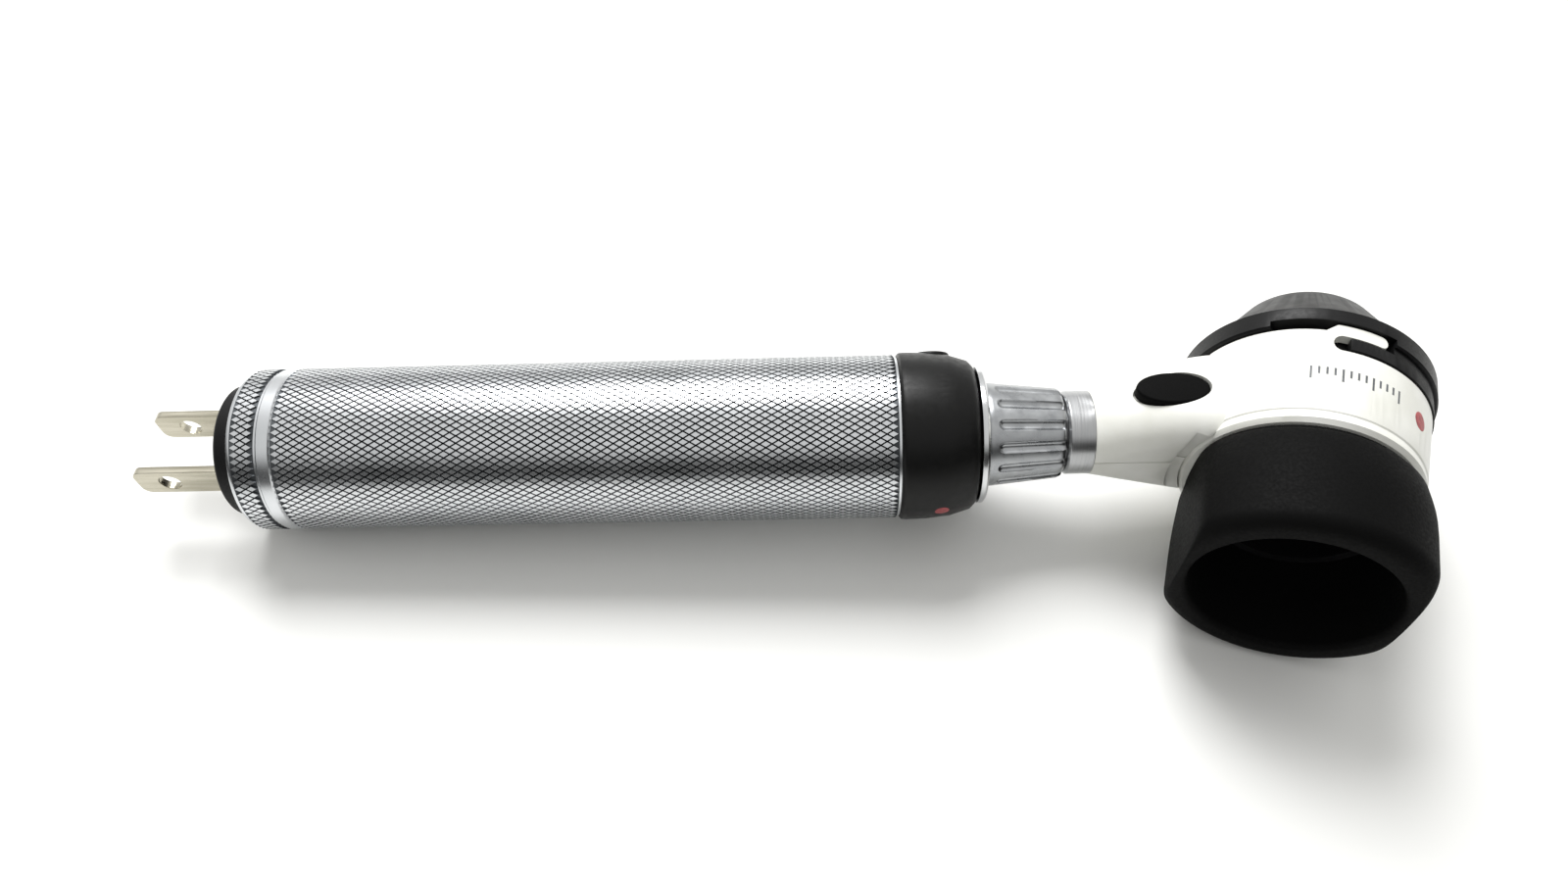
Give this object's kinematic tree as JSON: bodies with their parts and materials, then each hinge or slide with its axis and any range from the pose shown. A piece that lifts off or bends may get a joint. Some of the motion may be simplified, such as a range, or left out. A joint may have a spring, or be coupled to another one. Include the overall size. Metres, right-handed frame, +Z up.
{
  "type": "dermatoscope",
  "caption": "Hand-held lit skin magnifier: black eyecup and contact cap on a white head, knurled rechargeable handle with fixed mains blades, shown lying down.",
  "frame": {"origin": "on the table, under the middle of the lying object", "axes": "+Z up, +X from the mains plug towards the head, -Y towards the eyepiece side"},
  "size_m": [0.2381, 0.0658, 0.044],
  "materials": {
    "chrome_knurled": "knurled and chromed brass",
    "satin_steel": "satin turned steel",
    "bright_steel": "polished steel",
    "plug_black": "moulded black",
    "blade_nickel": "nickel plated brass",
    "collar_black": "moulded black",
    "cap_black": "moulded black",
    "eyecup_rubber": "soft black rubber",
    "white_lacquer": "stoved white lacquer",
    "button_black": "black rubber",
    "board_green": "glass fibre circuit board",
    "lamp_yellow": "lamp phosphor",
    "lens_glass": "coated optical glass",
    "anodised_black": "black anodised aluminium",
    "insulator_white": "moulded insulator",
    "contact_brass": "turned brass",
    "spring_steel": "spring wire",
    "cell_can": "nickel plated cell can",
    "cell_wrap": "shrink sleeve",
    "wire_red": "insulated wire",
    "screw_steel": "steel screw",
    "seal_rubber": "rubber seal",
    "track_carbon": "resistance track",
    "component_blue": "electronic component"
  },
  "bodies": {
    "handle": {"handle_tube": "chrome_knurled", "collar": "collar_black", "flange_ring": "bright_steel", "core_tube": "satin_steel", "core_insulator": "insulator_white", "contact_pin": "contact_brass", "contact_spring": "spring_steel", "battery_cell_rear": "cell_can", "battery_cell_front": "cell_can", "battery_sleeve": "cell_wrap", "dimmer_track": "track_carbon", "lock_button_spring": "spring_steel"},
    "plug_unit": {"plug_insert": "plug_black", "plug_blade_front": "blade_nickel", "plug_blade_back": "blade_nickel", "charger_board": "board_green", "charger_capacitor": "component_blue", "charger_diodes": "plug_black", "battery_spring": "spring_steel"},
    "end_ring": {"end_ring": "chrome_knurled"},
    "dimmer": {"dimmer_dial": "bright_steel", "dimmer_wiper": "contact_brass"},
    "lock_button": {"lock_button": "collar_black"},
    "head": {"coupling_ring": "satin_steel", "head_insulator": "insulator_white", "head_contact_pin": "contact_brass", "head_housing": "white_lacquer", "neck_cover": "white_lacquer", "neck_screws": "screw_steel", "switch_board": "board_green", "button_switch": "plug_black", "led_board": "board_green", "led_bank_plain": "lamp_yellow", "led_bank_polarised": "lamp_yellow", "board_screws": "screw_steel", "supply_wire": "wire_red", "guide_pin": "spring_steel", "retaining_ring": "spring_steel", "light_button_spring": "spring_steel"},
    "light_button": {"light_button": "button_black"},
    "focus": {"focus_sleeve": "anodised_black", "eyecup": "eyecup_rubber"},
    "lens_unit": {"lens_barrel": "anodised_black", "lens_skin_side": "lens_glass", "lens_spacer": "anodised_black", "lens_eye_side": "lens_glass", "lens_retainer": "anodised_black"},
    "contact_cap": {"contact_cap": "cap_black", "contact_glass": "lens_glass", "cap_seal": "seal_rubber"}
  },
  "joints": [
    {"name": "plug_unit_slide", "type": "slide", "parent": "handle", "child": "plug_unit", "axis": [-0.9993, 0, -0.0364], "range_m": [0, 0.002]},
    {"name": "end_ring_turn", "type": "hinge", "parent": "plug_unit", "child": "end_ring", "pos_m": [-0.09701, 0.00739, 0.01499], "axis": [-0.9993, 0, -0.0364], "range_deg": [0, 721]},
    {"name": "dimmer_turn", "type": "hinge", "parent": "handle", "child": "dimmer", "pos_m": [0.03735, 0.00739, 0.01989], "axis": [0.9993, 0, 0.0364], "range_deg": [0, 120]},
    {"name": "lock_button_press", "type": "slide", "parent": "handle", "child": "lock_button", "axis": [0.0182, -0.866, -0.4997], "range_m": [0, 0.0008], "stiffness_N_per_m": 900, "springref_m": -0.0008, "deforming": ["lock_button_spring"]},
    {"name": "head_twist", "type": "hinge", "parent": "handle", "child": "head", "pos_m": [0.05164, 0.00739, 0.02041], "axis": [0.9993, 0, 0.0364], "range_deg": [0, 45]},
    {"name": "light_button_press", "type": "slide", "parent": "head", "child": "light_button", "axis": [0.0364, 0, -0.9993], "range_m": [0, 0.0008], "stiffness_N_per_m": 600, "springref_m": -0.0008, "deforming": ["light_button_spring"]},
    {"name": "focus_turn", "type": "hinge", "parent": "head", "child": "focus", "pos_m": [0.09531, 0.00739, 0.022], "axis": [-0.2924, -0.9563, 0], "range_deg": [-60, 60]},
    {"name": "lens_slide", "type": "slide", "parent": "head", "child": "lens_unit", "axis": [-0.2924, -0.9563, 0], "range_m": [-0.00151, 0.00151]},
    {"name": "cap_twist", "type": "hinge", "parent": "head", "child": "contact_cap", "pos_m": [0.09531, 0.00739, 0.022], "axis": [0.2924, 0.9563, 0], "range_deg": [0, 22]}
  ],
  "couplings": [
    {"joint": "end_ring_turn", "follows": "plug_unit_slide", "rad_per_m": 6283.2},
    {"joint": "lens_slide", "follows": "focus_turn", "m_per_rad": 0.0014324}
  ]
}
